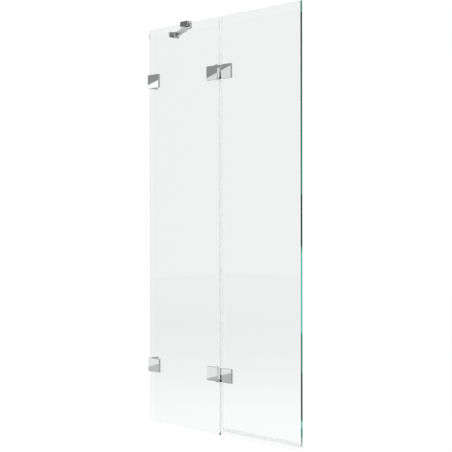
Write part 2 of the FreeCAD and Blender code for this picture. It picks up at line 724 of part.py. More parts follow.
def build_clamps():
    """Make the two wall clamps with their gaskets, bolts and sleeves."""
    pieces = []
    bolts = []
    sleeves = []
    for name, level in LEVELS.items():
        pieces.append(clamp_plate(f"{name}_clamp_plate", level))
        pieces.append(wall_bracket(f"{name}_wall_bracket", level))
        pieces.append(gasket(
            f"{name}_clamp_front_gasket", "wall_gap + gasket_inset", f"-{HALF_GLASS}", level,
            "clamp_width - 2 * gasket_inset", "clamp_bolt_offset - wall_gap - gasket_inset",
            "bolt_radius + bolt_play"))
        pieces.append(gasket(
            f"{name}_clamp_back_gasket", "wall_gap + gasket_inset", BACK_SEAT, level,
            "bracket_reach - wall_gap - 2 * gasket_inset",
            "clamp_bolt_offset - wall_gap - gasket_inset", "bolt_radius + bolt_play"))
        for row, height in enumerate(bolt_rows()):
            bolts.append(clamp_bolt(f"{name}_clamp_bolt_{row}", level, height))
            sleeves.append(clamp_sleeve(f"{name}_clamp_sleeve_{row}", level, height))
    return pieces + [group("clamp_bolts", bolts), group("clamp_sleeves", sleeves)]


def build_hinges():
    """Make the two glass-to-glass hinges."""
    pieces = []
    fixed_bolts = []
    door_bolts = []
    fixed_left = f"({FIXED_EDGE} - fixed_leaf_width)"
    door_left = f"({PIVOT_X} + leaf_step + gasket_inset)"
    for name, level in LEVELS.items():
        pieces.append(fixed_leaf(f"{name}_hinge_fixed_leaf", level))
        pieces.append(door_leaf(f"{name}_hinge_door_leaf", level))
        pieces.append(gasket(
            f"{name}_hinge_fixed_gasket", f"{fixed_left} + gasket_inset", f"-{HALF_GLASS}", level,
            "fixed_leaf_width - 2 * gasket_inset", "fixed_bolt_offset - gasket_inset", FLUSH_HOLE))
        pieces.append(gasket(
            f"{name}_hinge_door_gasket", door_left, f"-{HALF_GLASS}", level,
            f"{PIVOT_X} + door_leaf_width - gasket_inset - {door_left}",
            f"{PIVOT_X} + door_bolt_offset - {door_left}", FLUSH_HOLE))
        pieces.append(upright_pin(
            f"{name}_hinge_pin", "pin_radius", "fitting_height", PIVOT_X,
            f"{FRONT_SEAT} - barrel_radius", level))
        bushes = [hinge_bush(f"{name}_bush_{end}", level, side)
                  for end, side in (("top", 1), ("bottom", -1))]
        pieces.append(group(f"{name}_hinge_bushes", bushes))
        for row, height in enumerate(bolt_rows()):
            fixed_x = f"{fixed_left} + fixed_bolt_offset"
            fixed_bolts.append(flush_bolt(f"{name}_fixed_bolt_{row}", fixed_x, level, height))
            door_x = f"{PIVOT_X} + door_bolt_offset"
            door_bolts.append(flush_bolt(f"{name}_door_bolt_{row}", door_x, level, height))
    return pieces + [group("hinge_fixed_bolts", fixed_bolts), group("hinge_door_bolts", door_bolts)]


def build_seals():
    """Make the upright seal in three lengths between the hinges, and the seal along the rim."""
    margin = "(fitting_height / 2 + knuckle_overlap + seal_fitting_gap)"
    upper = LEVELS["upper"]
    lower = LEVELS["lower"]
    return [
        side_seal("side_seal_top", f"({upper} + {margin})", "screen_height"),
        side_seal("side_seal_middle", f"({lower} + {margin})", f"({upper} - {margin})"),
        side_seal("side_seal_bottom", "side_seal_lift", f"({lower} - {margin})"),
        rim_seal("rim_seal"),
    ]


def build_stabiliser():
    """Make the arm that ties the top of the fixed pane back to the wall."""
    pins = [
        upright_pin("glass_pivot_pin", "arm_pin_radius", "stabiliser_height",
                    "stabiliser_offset", GLASS_PIVOT_Y, STABILISER_LEVEL),
        upright_pin("wall_pivot_pin", "arm_pin_radius", "wall_plate_height",
                    WALL_PIVOT_X, "wall_plate_offset", STABILISER_LEVEL),
    ]
    grubs = [grub_screw(f"grub_{side}", x) for side, x in
             (("right", "grub_spacing / 2"), ("left", "-grub_spacing / 2"))]
    return [
        top_clamp("stabiliser_glass_clamp"),
        clamp_liner("stabiliser_clamp_liner"),
        stabiliser_arm("stabiliser_arm"),
        wall_plate("stabiliser_wall_plate"),
        group("stabiliser_pins", pins),
        group("stabiliser_grub_screws", grubs),
    ]


def check(pieces):
    """Stop if any object of the document failed or any sub-part has no sound shape."""
    doc.recompute()
    for item in doc.Objects:
        if "Invalid" in item.State or "Error" in item.State:
            raise RuntimeError(f"{item.Label} failed: {item.State}")
    for piece in pieces:
        if piece.Shape.isNull() or not piece.Shape.isValid() or not piece.Shape.Solids:
            raise RuntimeError(f"{piece.Label} has no sound shape")


def main():
    """Build every sub-part and write one STEP file each."""
    pieces = build_panes() + build_clamps() + build_hinges() + build_seals() + build_stabiliser()
    check(pieces)
    os.makedirs("parts", exist_ok=True)
    for piece in pieces:
        piece.Shape.exportStep(os.path.join("parts", f"{piece.Label}.step"))
        print(f"{piece.Label}: {len(piece.Shape.Solids)} solid, {piece.Shape.Volume / 1000:.2f} cm3")


main()
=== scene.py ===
"""Looks of a frameless glass bath screen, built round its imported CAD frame.

The panes are toughened float glass with a green ground edge, the clamps, hinges and stabiliser are
polished chrome, and the seals are clear extruded vinyl. Metres, in the frame of the CAD part: X runs
along the screen away from the wall, Y into the bath and Z up from the bath rim.
"""

from __future__ import annotations

import json
import logging
import math
from dataclasses import dataclass
from enum import Enum
from typing import Any, Iterable

import bmesh
import bpy
import numpy as np
from mathutils import Matrix, Vector

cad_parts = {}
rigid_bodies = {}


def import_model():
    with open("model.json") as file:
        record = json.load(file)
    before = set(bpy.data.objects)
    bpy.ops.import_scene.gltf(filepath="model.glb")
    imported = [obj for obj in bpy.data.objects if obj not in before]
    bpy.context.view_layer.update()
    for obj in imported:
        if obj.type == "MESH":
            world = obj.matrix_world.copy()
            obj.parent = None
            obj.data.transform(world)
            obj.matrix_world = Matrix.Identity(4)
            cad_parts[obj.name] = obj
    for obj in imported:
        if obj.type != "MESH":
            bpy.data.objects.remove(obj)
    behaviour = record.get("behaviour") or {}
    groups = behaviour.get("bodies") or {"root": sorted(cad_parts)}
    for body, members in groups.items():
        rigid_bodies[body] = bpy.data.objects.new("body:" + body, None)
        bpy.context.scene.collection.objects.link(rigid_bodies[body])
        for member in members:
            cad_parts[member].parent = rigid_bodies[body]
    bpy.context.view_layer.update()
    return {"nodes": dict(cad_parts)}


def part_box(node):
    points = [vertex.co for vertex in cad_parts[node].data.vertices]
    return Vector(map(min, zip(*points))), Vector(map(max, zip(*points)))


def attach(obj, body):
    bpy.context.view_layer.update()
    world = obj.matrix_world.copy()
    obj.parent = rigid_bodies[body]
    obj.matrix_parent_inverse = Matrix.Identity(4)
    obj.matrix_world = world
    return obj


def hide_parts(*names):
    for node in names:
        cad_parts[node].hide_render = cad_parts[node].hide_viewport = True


LOG = logging.getLogger("bath_screen")
PHOTO_SIDE = 452
MM = 0.001
SHARP_DEGREES = 35
# Half the thickness of a pane and the room that soft parts leave on it, in millimetres.
GLASS_HALF = 4.0
GLASS_PLAY = 0.1

Colour = tuple[float, float, float, float]
Grid = tuple[np.ndarray, np.ndarray]
Line = tuple[float, float]


class Body(Enum):
    """The rigid bodies that pieces ride on."""

    FIXED = "fixed_panel"
    DOOR = "door"


class Along(Enum):
    """The direction in which a seal was drawn, as an index of its coordinates."""

    SCREEN = 0
    HEIGHT = 2


class EdgeTone(Enum):
    """Greens of a pane's bare edge, and the pale tones of the other ground edges and behind a seal."""

    # The bare edge's greens are the glass's own green with painted reflections, darker and lighter.
    DEEP = "#04241b"
    DARK = "#093b2f"
    MIDDLE = "#2a7664"
    LIGHT = "#56b0a0"
    PALE = "#b2bfbb"
    GROUND = "#e2e4e3"
    # Painted shade on a ground edge behind a seal.
    SEALED = "#d2d4d3"


def srgb(code: str) -> Colour:
    """Turn an sRGB hex value into a linear colour.

    Args:
        code: six hex digits with a leading hash sign.

    Returns:
        Linear red, green and blue, with an alpha of 1.
    """
    parts = np.array([int(code[i:i + 2], 16) for i in (1, 3, 5)]) / 255
    linear = np.where(parts <= 0.04045, parts / 12.92, ((parts + 0.055) / 1.055) ** 2.4)
    return (float(linear[0]), float(linear[1]), float(linear[2]), 1.0)


def grey(level: float) -> Colour:
    """Return a neutral linear colour."""
    return (level, level, level, 1.0)


def add_node(tree: bpy.types.NodeTree, kind: str, settings: dict[str, Any] | None = None,
             inputs: dict[Any, Any] | None = None) -> bpy.types.Node:
    """Add a node with its settings, values and links.

    Args:
        tree: node tree that gets the node.
        kind: Blender's name of the node type.
        settings: properties of the node.
        inputs: input name or index to a plain value, or to an output socket to link.

    Returns:
        The new node.
    """
    node = tree.nodes.new(kind)
    for name, value in (settings or {}).items():
        setattr(node, name, value)
    for key, value in (inputs or {}).items():
        if isinstance(value, bpy.types.NodeSocket):
            tree.links.new(value, node.inputs[key])
        else:
            node.inputs[key].default_value = value
    return node


def set_stops(ramp: bpy.types.Node, stops: Iterable[tuple[float, Colour]]) -> None:
    """Give a new colour ramp its stops.

    Args:
        ramp: the ramp's node.
        stops: places from 0 to 1, rising, each with its colour.
    """
    elements = ramp.color_ramp.elements
    elements.remove(elements[1])
    for index, (place, colour) in enumerate(stops):
        stop = elements[0] if index == 0 else elements.new(place)
        stop.position = place
        stop.color = colour


def new_material(name: str) -> tuple[bpy.types.Material, bpy.types.NodeTree]:
    """Make an empty node material.

    Args:
        name: the material's common name.

    Returns:
        The material and its emptied node tree.
    """
    material = bpy.data.materials.new(name)
    material.use_nodes = True
    material.node_tree.nodes.clear()
    return material, material.node_tree


def dress(objects: Iterable[bpy.types.Object], material: bpy.types.Material) -> None:
    """Give every object one material in place of what it has.

    Args:
        objects: the pieces.
        material: their finish.
    """
    for obj in objects:
        obj.data.materials.clear()
        obj.data.materials.append(material)
        LOG.info("%s: %s", obj.name, material.name)


def quarter(centre: tuple[float, float], radius: float, start: float, count: int = 7) -> np.ndarray:
    """Return points on a quarter circle: centre plus radius times cosine and sine of the angle.

    Args:
        centre: the circle's centre.
        radius: the circle's radius.
        start: first angle in degrees; the arc turns on by 90, anticlockwise.
        count: number of points.

    Returns:
        An array of count points.
    """
    angle = np.radians(np.linspace(start, start + 90, count))
    return np.array(centre) + radius * np.stack([np.cos(angle), np.sin(angle)], axis=1)


def carried_wall(inner: np.ndarray, outer: np.ndarray, stations: np.ndarray) -> Grid:
    """Carry a wall's section along a straight path.

    Point (i, j) of the grid is point j of the section at station i of the path. The section is the
    inner line there and the outer line back, so a closed loop; each pair of neighbours on the loop and
    each pair of stations bound one face, and the two ends are closed by faces between the lines.

    Args:
        inner: n points of the wall's one side, in section coordinates.
        outer: n points of its other side, beside the first.
        stations: distances along the path.

    Returns:
        Vertices as (section, section, path) and faces as vertex numbers.
    """
    loop = np.concatenate([inner, outer[::-1]])
    around = len(loop)
    grid = np.empty((len(stations), around, 3))
    grid[:, :, :2] = loop
    grid[:, :, 2] = stations[:, None]
    step = np.arange(around)
    after = (step + 1) % around
    lower = np.arange(len(stations) - 1)[:, None] * around
    skin = np.stack([lower + step, lower + after, lower + around + after, lower + around + step], axis=-1)
    near = np.arange(len(inner) - 1)
    far = around - 1 - near
    cap = np.stack([near, far, far - 1, near + 1], axis=-1)
    last = (len(stations) - 1) * around
    faces = np.concatenate([skin.reshape(-1, 4), cap, cap[:, ::-1] + last])
    return grid.reshape(-1, 3), faces


def surface(name: str, grids: list[Grid], order: tuple[int, int, int], origin: Vector) -> bpy.types.Object:
    """Put grids together as one mesh object at the origin.

    Args:
        name: name of the piece.
        grids: vertices and faces of each grid, in millimetres.
        order: which of a vertex's numbers are X, Y and Z.
        origin: place of the section's zero, in metres.

    Returns:
        The linked object, smooth where its faces meet flatly.
    """
    starts = np.cumsum([0] + [len(vertices) for vertices, _ in grids[:-1]])
    points = np.concatenate([vertices[:, order] for vertices, _ in grids]) * MM + np.array(origin)
    faces = np.concatenate([quads + start for (_, quads), start in zip(grids, starts)])
    mesh = bpy.data.meshes.new(name)
    mesh.from_pydata(points.tolist(), [], faces.tolist())
    build = bmesh.new()
    build.from_mesh(mesh)
    bmesh.ops.recalc_face_normals(build, faces=build.faces)
    build.to_mesh(mesh)
    build.free()
    mesh.shade_smooth()
    mesh.set_sharp_from_angle(angle=math.radians(SHARP_DEGREES))
    obj = bpy.data.objects.new(name, mesh)
    bpy.context.scene.collection.objects.link(obj)
    return obj


@dataclass(frozen=True)
class ToughenedGlass:
    """Clear float glass, cut, edge-ground and toughened.

    The faces are almost clear, with a breath of green. The ground edges are matt and pale, and the one
    away from the wall, where it is bare, gathers the green of the glass's whole width, with painted
    reflections in darker and lighter stretches. The edges glow with painted light, an emission in place
    of light that the pane carries to them. To polished metal the faces show a painted shade, a darker
    tint in place of a dimmer room behind the pane.
    """

    low: Vector
    high: Vector
    edge_stops: tuple[tuple[float, EdgeTone], ...]
    wall_edge_ground: bool
    # Painted light: how strongly the ground edges glow, and how strongly beside the hinge.
    painted_edge_glow: float
    hinge_edge_glow: float = 0.72
    face_tint: str = "#f4f5f5"
    # Painted shade: the faces' darker tint where polished metal mirrors them.
    mirror_painted_shade: str = "#9b9d9c"
    ior: float = 1.5
    face_gloss: float = 0.5
    edge_roughness: float = 0.6
    rim: float = 0.85 * MM
    hinge_side: float = 14 * MM
    clamp_side: float = 28 * MM

    def edges(self, tree: bpy.types.NodeTree, place: bpy.types.Node,
              ) -> tuple[bpy.types.NodeSocket, bpy.types.NodeSocket]:
        """Find the ground edges.

        Args:
            tree: the material's nodes.
            place: Object coordinates, split.

        Returns:
            A socket that is 1 on the edge away from the wall and one that is 1 on all that are ground.
        """
        tests = [("GREATER_THAN", "X", self.high.x - self.rim),
                 ("GREATER_THAN", "Z", self.high.z - self.rim),
                 ("LESS_THAN", "Z", self.low.z + self.rim)]
        if self.wall_edge_ground:
            tests.append(("LESS_THAN", "X", self.low.x + self.rim))
        sides = []
        for test, axis, limit in tests:
            found = add_node(tree, "ShaderNodeMath", {"operation": test}, {0: place.outputs[axis], 1: limit})
            sides.append(found.outputs[0])
        every = sides[0]
        for side in sides[1:]:
            both = add_node(tree, "ShaderNodeMath", {"operation": "MAXIMUM"}, {0: every, 1: side})
            every = both.outputs[0]
        return sides[0], every

    def faces(self, tree: bpy.types.NodeTree, place: bpy.types.Node,
              rays: bpy.types.Node) -> bpy.types.NodeSocket:
        """Choose the tint of the clear faces.

        Args:
            tree: the material's nodes.
            place: Object coordinates, split.
            rays: the kinds of ray.

        Returns:
            The tint: a painted shade, dimmer to polished metal, but not beside the hinge or in the
            stabiliser's clamp.
        """
        inside = add_node(tree, "ShaderNodeMath", {"operation": "GREATER_THAN"},
                          {0: place.outputs["X"], 1: self.low.x + self.hinge_side})
        mirrored = add_node(tree, "ShaderNodeMath", {"operation": "GREATER_THAN"}, {
            0: rays.outputs["Is Glossy Ray"], 1: rays.outputs["Is Transmission Ray"]})
        under = add_node(tree, "ShaderNodeMath", {"operation": "LESS_THAN"},
                         {0: place.outputs["Z"], 1: self.high.z - self.clamp_side})
        open_field = add_node(tree, "ShaderNodeMath", {"operation": "MULTIPLY"},
                              {0: inside.outputs[0], 1: under.outputs[0]})
        # Painted shade: where the darker tint shows.
        painted_shade_share = add_node(tree, "ShaderNodeMath", {"operation": "MULTIPLY"},
                          {0: open_field.outputs[0], 1: mirrored.outputs[0]})
        tint = add_node(tree, "ShaderNodeMix", {"data_type": "RGBA"}, {
            "Factor": painted_shade_share.outputs[0], "A": srgb(self.face_tint), "B": srgb(self.mirror_painted_shade)})
        return tint.outputs["Result"]

    def painted_edge_light(self, tree: bpy.types.NodeTree, place: bpy.types.Node, bare: bpy.types.NodeSocket,
                      mask: bpy.types.NodeSocket, colour: bpy.types.NodeSocket,
                      ) -> tuple[bpy.types.NodeSocket, bpy.types.NodeSocket]:
        """Find the light that the pane carries to its edges.

        It is painted light, an emission that makes the edges glow in place of that light. It grows from the
        front to the back of the edge away from the wall, is even on the others, and is strongest beside the
        hinge.

        Args:
            tree: the material's nodes.
            place: Object coordinates, split.
            bare: 1 on the edge away from the wall.
            mask: 1 on all ground edges.
            colour: the pane's colour.

        Returns:
            The painted light's colour and its strength.
        """
        depth = add_node(tree, "ShaderNodeMapRange", inputs={
            "Value": place.outputs["Y"], "From Min": self.low.y, "From Max": self.high.y})
        others = add_node(tree, "ShaderNodeMath", {"operation": "SUBTRACT"}, {0: 1.0, 1: bare})
        lit = add_node(tree, "ShaderNodeMath", {"operation": "MAXIMUM"},
                       {0: depth.outputs[0], 1: others.outputs[0]})
        glowing = add_node(tree, "ShaderNodeMath", {"operation": "MULTIPLY"}, {0: mask, 1: lit.outputs[0]})
        # Painted light: the emission's colour, the pane's own, on the ground edges.
        carried = add_node(tree, "ShaderNodeMix", {"data_type": "RGBA"}, {
            "Factor": glowing.outputs[0], "A": grey(0.0), "B": colour})
        beside = add_node(tree, "ShaderNodeMath", {"operation": "LESS_THAN"},
                          {0: place.outputs["X"], 1: self.low.x + self.rim})
        strength = add_node(tree, "ShaderNodeMapRange", inputs={
            "Value": beside.outputs[0], "To Min": self.painted_edge_glow, "To Max": self.hinge_edge_glow})
        return carried.outputs["Result"], strength.outputs[0]

    def build(self, name: str) -> bpy.types.Material:
        """Make the material.

        Args:
            name: the material's name.

        Returns:
            The glass.
        """
        material, tree = new_material(name)
        spot = add_node(tree, "ShaderNodeTexCoord").outputs["Object"]
        place = add_node(tree, "ShaderNodeSeparateXYZ", inputs={0: spot})
        rays = add_node(tree, "ShaderNodeLightPath")
        bare, mask = self.edges(tree, place)
        share = add_node(tree, "ShaderNodeMapRange", inputs={
            "Value": place.outputs["Z"], "From Min": 0.0, "From Max": self.high.z})
        ramp = add_node(tree, "ShaderNodeValToRGB", inputs={0: share.outputs[0]})
        set_stops(ramp, [(at / self.high.z, srgb(tone.value)) for at, tone in self.edge_stops])
        ground = add_node(tree, "ShaderNodeMix", {"data_type": "RGBA"}, {
            "Factor": mask, "A": self.faces(tree, place, rays), "B": srgb(EdgeTone.GROUND.value)})
        colour = add_node(tree, "ShaderNodeMix", {"data_type": "RGBA"}, {
            "Factor": bare, "A": ground.outputs["Result"], "B": ramp.outputs["Color"]})
        clear = add_node(tree, "ShaderNodeMath", {"operation": "SUBTRACT"}, {0: 1.0, 1: mask})
        rough = add_node(tree, "ShaderNodeMath", {"operation": "MULTIPLY"},
                         {0: mask, 1: self.edge_roughness})
        gloss = add_node(tree, "ShaderNodeMath", {"operation": "MULTIPLY"},
                         {0: clear.outputs[0], 1: self.face_gloss})
        carried, strength = self.painted_edge_light(tree, place, bare, mask, colour.outputs["Result"])
        glass = add_node(tree, "ShaderNodeBsdfPrincipled", inputs={
            "Base Color": colour.outputs["Result"], "Transmission Weight": clear.outputs[0],
            "Roughness": rough.outputs[0], "IOR": self.ior, "Specular IOR Level": gloss.outputs[0],
            "Emission Color": carried, "Emission Strength": strength})
        add_node(tree, "ShaderNodeOutputMaterial", inputs={"Surface": glass.outputs[0]})
        return material


@dataclass(frozen=True)
class PolishedChrome:
    """Bright chrome plate on polished brass: a near mirror with a faint haze from wiping."""

    name: str = "polished_chrome_plate"
    tint: str = "#d2d3d3"
    roughness: tuple[float, float] = (0.006, 0.014)
    haze_size: float = 12 * MM
    haze_detail: float = 4.0
    haze_span: tuple[float, float] = (0.3, 0.7)

    def colour(self, tree: bpy.types.NodeTree, spot: bpy.types.NodeSocket) -> Colour | bpy.types.NodeSocket:
        """Return the plate's colour, the same everywhere."""
        return srgb(self.tint)

    def build(self) -> bpy.types.Material:
        """Make the material.

        Returns:
            The chrome.
        """
        material, tree = new_material(self.name)
        spot = add_node(tree, "ShaderNodeTexCoord").outputs["Object"]
        haze = add_node(tree, "ShaderNodeTexNoise", inputs={
            "Vector": spot, "Scale": 1 / self.haze_size, "Detail": self.haze_detail})
        rough = add_node(tree, "ShaderNodeMapRange", inputs={
            "Value": haze.outputs[0], "From Min": self.haze_span[0], "From Max": self.haze_span[1],
            "To Min": self.roughness[0], "To Max": self.roughness[1]})
        metal = add_node(tree, "ShaderNodeBsdfPrincipled", inputs={
            "Base Color": self.colour(tree, spot), "Metallic": 1.0, "Roughness": rough.outputs[0]})
        add_node(tree, "ShaderNodeOutputMaterial", inputs={"Surface": metal.outputs[0]})
        return material


@dataclass(frozen=True, kw_only=True)
class HingeChrome(PolishedChrome):
    """Chrome of the hinge leaves, with a darker tone on the lower halves of the knuckles."""

    pins: tuple[tuple[Vector, Vector], ...]
    name: str = "polished_chrome_hinge"
    # Painted shade: the darker tone of the knuckles' lower halves, in the slit between the leaves.
    shade: str = "#4c4e4f"
    reach: float = 3.4 * MM
    half_height: float = 25.5 * MM

    def colour(self, tree: bpy.types.NodeTree, spot: bpy.types.NodeSocket) -> Colour | bpy.types.NodeSocket:
        """Mix the plate's colour with the knuckles' shade.

        Args:
            tree: the material's nodes.
            spot: Object coordinates.

        Returns:
            The colour: a painted shade round the pin in the lower half of each hinge, elsewhere the plate's.
        """
        place = add_node(tree, "ShaderNodeSeparateXYZ", inputs={0: spot})
        middles = [(low + high) / 2 for low, high in self.pins]
        knuckle = add_node(tree, "ShaderNodeMath", {"operation": "COMPARE"},
                           {0: place.outputs["X"], 1: middles[0].x, 2: self.reach}).outputs[0]
        lower: Any = 0.0
        for middle in middles:
            half = add_node(tree, "ShaderNodeMath", {"operation": "COMPARE"}, {
                0: place.outputs["Z"], 1: middle.z - self.half_height / 2, 2: self.half_height / 2})
            lower = add_node(tree, "ShaderNodeMath", inputs={0: half.outputs[0], 1: lower}).outputs[0]
        # Painted shade where both tests hold.
        dark = add_node(tree, "ShaderNodeMath", {"operation": "MULTIPLY"}, {0: knuckle, 1: lower})
        mixed = add_node(tree, "ShaderNodeMix", {"data_type": "RGBA"}, {
            "Factor": dark.outputs[0], "A": srgb(self.tint), "B": srgb(self.shade)})
        return mixed.outputs["Result"]


@dataclass(frozen=True)
class ClearVinyl:
    """Extruded soft vinyl: clear but a little milky, with faint draw lines along its length.

    The veil is how much it hides of what lies behind. A bulb, which ends at a distance from the wall, is
    thinner and so clearer. A length without one leaves that distance at 0.
    """

    drawn: Along
    veil: float
    bulb_veil: float = 0.02
    bulb_end: float = 0.0
    tint: str = "#d3d6d5"
    line_tint: str = "#c3c7c5"
    ior: float = 1.45
    roughness: tuple[float, float] = (0.12, 0.24)
    line_width: float = 0.6 * MM
    line_length: float = 400 * MM
    line_detail: float = 3.0

    def build(self, name: str) -> bpy.types.Material:
        """Make the material.

        Args:
            name: the material's name.

        Returns:
            The vinyl.
        """
        material, tree = new_material(name)
        spot = add_node(tree, "ShaderNodeTexCoord").outputs["Object"]
        fine = [1 / self.line_width] * 3
        fine[self.drawn.value] = 1 / self.line_length
        stretched = add_node(tree, "ShaderNodeMapping", inputs={"Vector": spot, "Scale": fine})
        lines = add_node(tree, "ShaderNodeTexNoise", inputs={
            "Vector": stretched.outputs[0], "Scale": 1.0, "Detail": self.line_detail})
        colour = add_node(tree, "ShaderNodeMix", {"data_type": "RGBA"}, {
            "Factor": lines.outputs[0], "A": srgb(self.tint), "B": srgb(self.line_tint)})
        rough = add_node(tree, "ShaderNodeMapRange", inputs={
            "Value": lines.outputs[0], "To Min": self.roughness[0], "To Max": self.roughness[1]})
        place = add_node(tree, "ShaderNodeSeparateXYZ", inputs={0: spot})
        thick = add_node(tree, "ShaderNodeMath", {"operation": "GREATER_THAN"},
                         {0: place.outputs["X"], 1: self.bulb_end})
        milk = add_node(tree, "ShaderNodeMapRange", inputs={
            "Value": thick.outputs[0], "To Min": self.bulb_veil, "To Max": self.veil})
        vinyl = add_node(tree, "ShaderNodeBsdfPrincipled", inputs={
            "Base Color": colour.outputs["Result"], "Alpha": milk.outputs[0],
            "Roughness": rough.outputs[0], "IOR": self.ior})
        add_node(tree, "ShaderNodeOutputMaterial", inputs={"Surface": vinyl.outputs[0]})
        return material


@dataclass(frozen=True)
class Mottled:
    """A plain moulded, cut or turned stuff whose colour and sheen vary a little from spot to spot.

    The spots' sizes along X, Y and Z are in millimetres.
    """

    name: str
    tint: str
    dark_tint: str
    roughness: tuple[float, float]
    spot_size: tuple[float, float, float]
    metallic: float = 0.0
    bump: float = 0.0
    # Painted light: an emission in the stuff's own colour, which makes it glow though it is no lamp.
    glow: float = 0.0
    grain_depth: float = 0.1 * MM
    spot_detail: float = 5.0

    def build(self) -> bpy.types.Material:
        """Make the material.

        Returns:
            The stuff.
        """
        material, tree = new_material(self.name)
        spot = add_node(tree, "ShaderNodeTexCoord").outputs["Object"]
        fine = [1 / (size * MM) for size in self.spot_size]
        scaled = add_node(tree, "ShaderNodeMapping", inputs={"Vector": spot, "Scale": fine})
        mottle = add_node(tree, "ShaderNodeTexNoise", inputs={
            "Vector": scaled.outputs[0], "Scale": 1.0, "Detail": self.spot_detail})
        colour = add_node(tree, "ShaderNodeMix", {"data_type": "RGBA"}, {
            "Factor": mottle.outputs[0], "A": srgb(self.tint), "B": srgb(self.dark_tint)})
        rough = add_node(tree, "ShaderNodeMapRange", inputs={
            "Value": mottle.outputs[0], "To Min": self.roughness[0], "To Max": self.roughness[1]})
        relief = add_node(tree, "ShaderNodeBump", inputs={
            "Height": mottle.outputs[0], "Strength": self.bump, "Distance": self.grain_depth})
        stuff = add_node(tree, "ShaderNodeBsdfPrincipled", inputs={
            "Base Color": colour.outputs["Result"], "Metallic": self.metallic,
            "Roughness": rough.outputs[0], "Normal": relief.outputs[0],
            "Emission Color": colour.outputs["Result"], "Emission Strength": self.glow})
        add_node(tree, "ShaderNodeOutputMaterial", inputs={"Surface": stuff.outputs[0]})
        return material


# Sheet vinyl, cut to the shape of the fittings: matt and milky. It glows a little with painted light,
# an emission in place of light in the pane.
GASKET_SHEET = Mottled("translucent_gasket_sheet", "#d4d7d5", "#c2c6c4", (0.5, 0.65), (2.0, 2.0, 2.0),
                       bump=0.2, glow=0.45)
# Solid rubber strip, black and matt with a fine grain.
BLACK_RUBBER = Mottled("black_rubber_strip", "#161616", "#0c0c0c", (0.6, 0.75), (0.8, 0.8, 0.8), bump=0.3)
# Stainless steel turned on its axis, satin with fine lines across Y, the axis of the bolts.
TURNED_STEEL = Mottled("turned_stainless_steel", "#bdbcb9", "#a3a29f", (0.2, 0.34), (4.0, 0.3, 4.0),
                       metallic=1.0)
# Natural nylon out of a mould, milky white.
MOULDED_NYLON = Mottled("moulded_natural_nylon", "#eceae3", "#dfddd4", (0.35, 0.5), (3.0, 3.0, 3.0),
                        bump=0.1)


@dataclass(frozen=True)
class GlassPanes:
    """The two panes: one stands at the wall, the other swings on it."""

    # Painted light: how strongly the ground edges of each pane glow.
    fixed_painted_glow: float = 0.45
    door_painted_glow: float = 0.3
    # Stretches of the bare edge, by height: painted reflections of what lies round the room.
    door_edge: tuple[tuple[float, EdgeTone], ...] = (
        (0.018, EdgeTone.PALE), (0.055, EdgeTone.MIDDLE), (0.077, EdgeTone.MIDDLE), (0.079, EdgeTone.LIGHT),
        (0.104, EdgeTone.LIGHT), (0.106, EdgeTone.DARK), (0.263, EdgeTone.DARK), (0.265, EdgeTone.MIDDLE),
        (0.396, EdgeTone.MIDDLE), (0.398, EdgeTone.LIGHT), (0.660, EdgeTone.LIGHT), (0.690, EdgeTone.DARK),
        (0.856, EdgeTone.DARK), (0.860, EdgeTone.MIDDLE), (1.461, EdgeTone.DEEP), (1.464, EdgeTone.MIDDLE),
        (1.500, EdgeTone.MIDDLE),
    )
    # On the fixed pane only the foot of the edge is bare of the seal; higher up the edge darkens to a
    # painted shade behind the seal.
    fixed_edge: tuple[tuple[float, EdgeTone], ...] = (
        (0.0, EdgeTone.MIDDLE), (0.008, EdgeTone.MIDDLE), (0.009, EdgeTone.GROUND), (0.15, EdgeTone.GROUND),
        (0.5, EdgeTone.SEALED), (1.5, EdgeTone.SEALED),
    )

    def build(self, nodes: dict[str, bpy.types.Object]) -> None:
        """Dress both panes, which are too clear to cast a shadow.

        Args:
            nodes: all CAD objects by name.
        """
        for name, stops, wall_edge_ground, glow in (("fixed_glass", self.fixed_edge, False, self.fixed_painted_glow),
                                                    ("door_glass", self.door_edge, True, self.door_painted_glow)):
            low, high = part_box(name)
            glass = ToughenedGlass(low, high, stops, wall_edge_ground, glow)
            dress([nodes[name]], glass.build(f"toughened_{name}"))
            nodes[name].visible_shadow = False


@dataclass(frozen=True)
class Fittings:
    """One group of the metal fittings with their soft and turned parts, told by words in their names."""

    title: str
    chrome: tuple[str, ...] = ()
    leaves: tuple[str, ...] = ()
    gaskets: tuple[str, ...] = ()
    steels: tuple[str, ...] = ()
    nylons: tuple[str, ...] = ()

    def build(self, nodes: dict[str, bpy.types.Object], finishes: dict[str, bpy.types.Material]) -> None:
        """Dress the group's CAD nodes.

        Args:
            nodes: all CAD objects by name.
            finishes: the materials by the field that lists their nodes.
        """
        LOG.info("%s", self.title)
        for field, finish in finishes.items():
            for word in getattr(self, field):
                dress([obj for name, obj in nodes.items() if word in name], finish)


WALL_CLAMPS = Fittings(
    "wall clamps", chrome=("_clamp_plate", "_wall_bracket"),
    gaskets=("_clamp_front_gasket", "_clamp_back_gasket"), steels=("clamp_bolts",),
    nylons=("clamp_sleeves",),
)
GLASS_HINGES = Fittings(
    "glass hinges", leaves=("_fixed_leaf", "_door_leaf"),
    gaskets=("hinge_fixed_gasket", "hinge_door_gasket"),
    steels=("hinge_pin", "hinge_fixed_bolts", "hinge_door_bolts"), nylons=("_bushes",),
)
STABILISER = Fittings(
    "stabiliser", chrome=("stabiliser_glass_clamp", "stabiliser_arm", "stabiliser_wall_plate"),
    steels=("stabiliser_pins", "stabiliser_grub"),
)


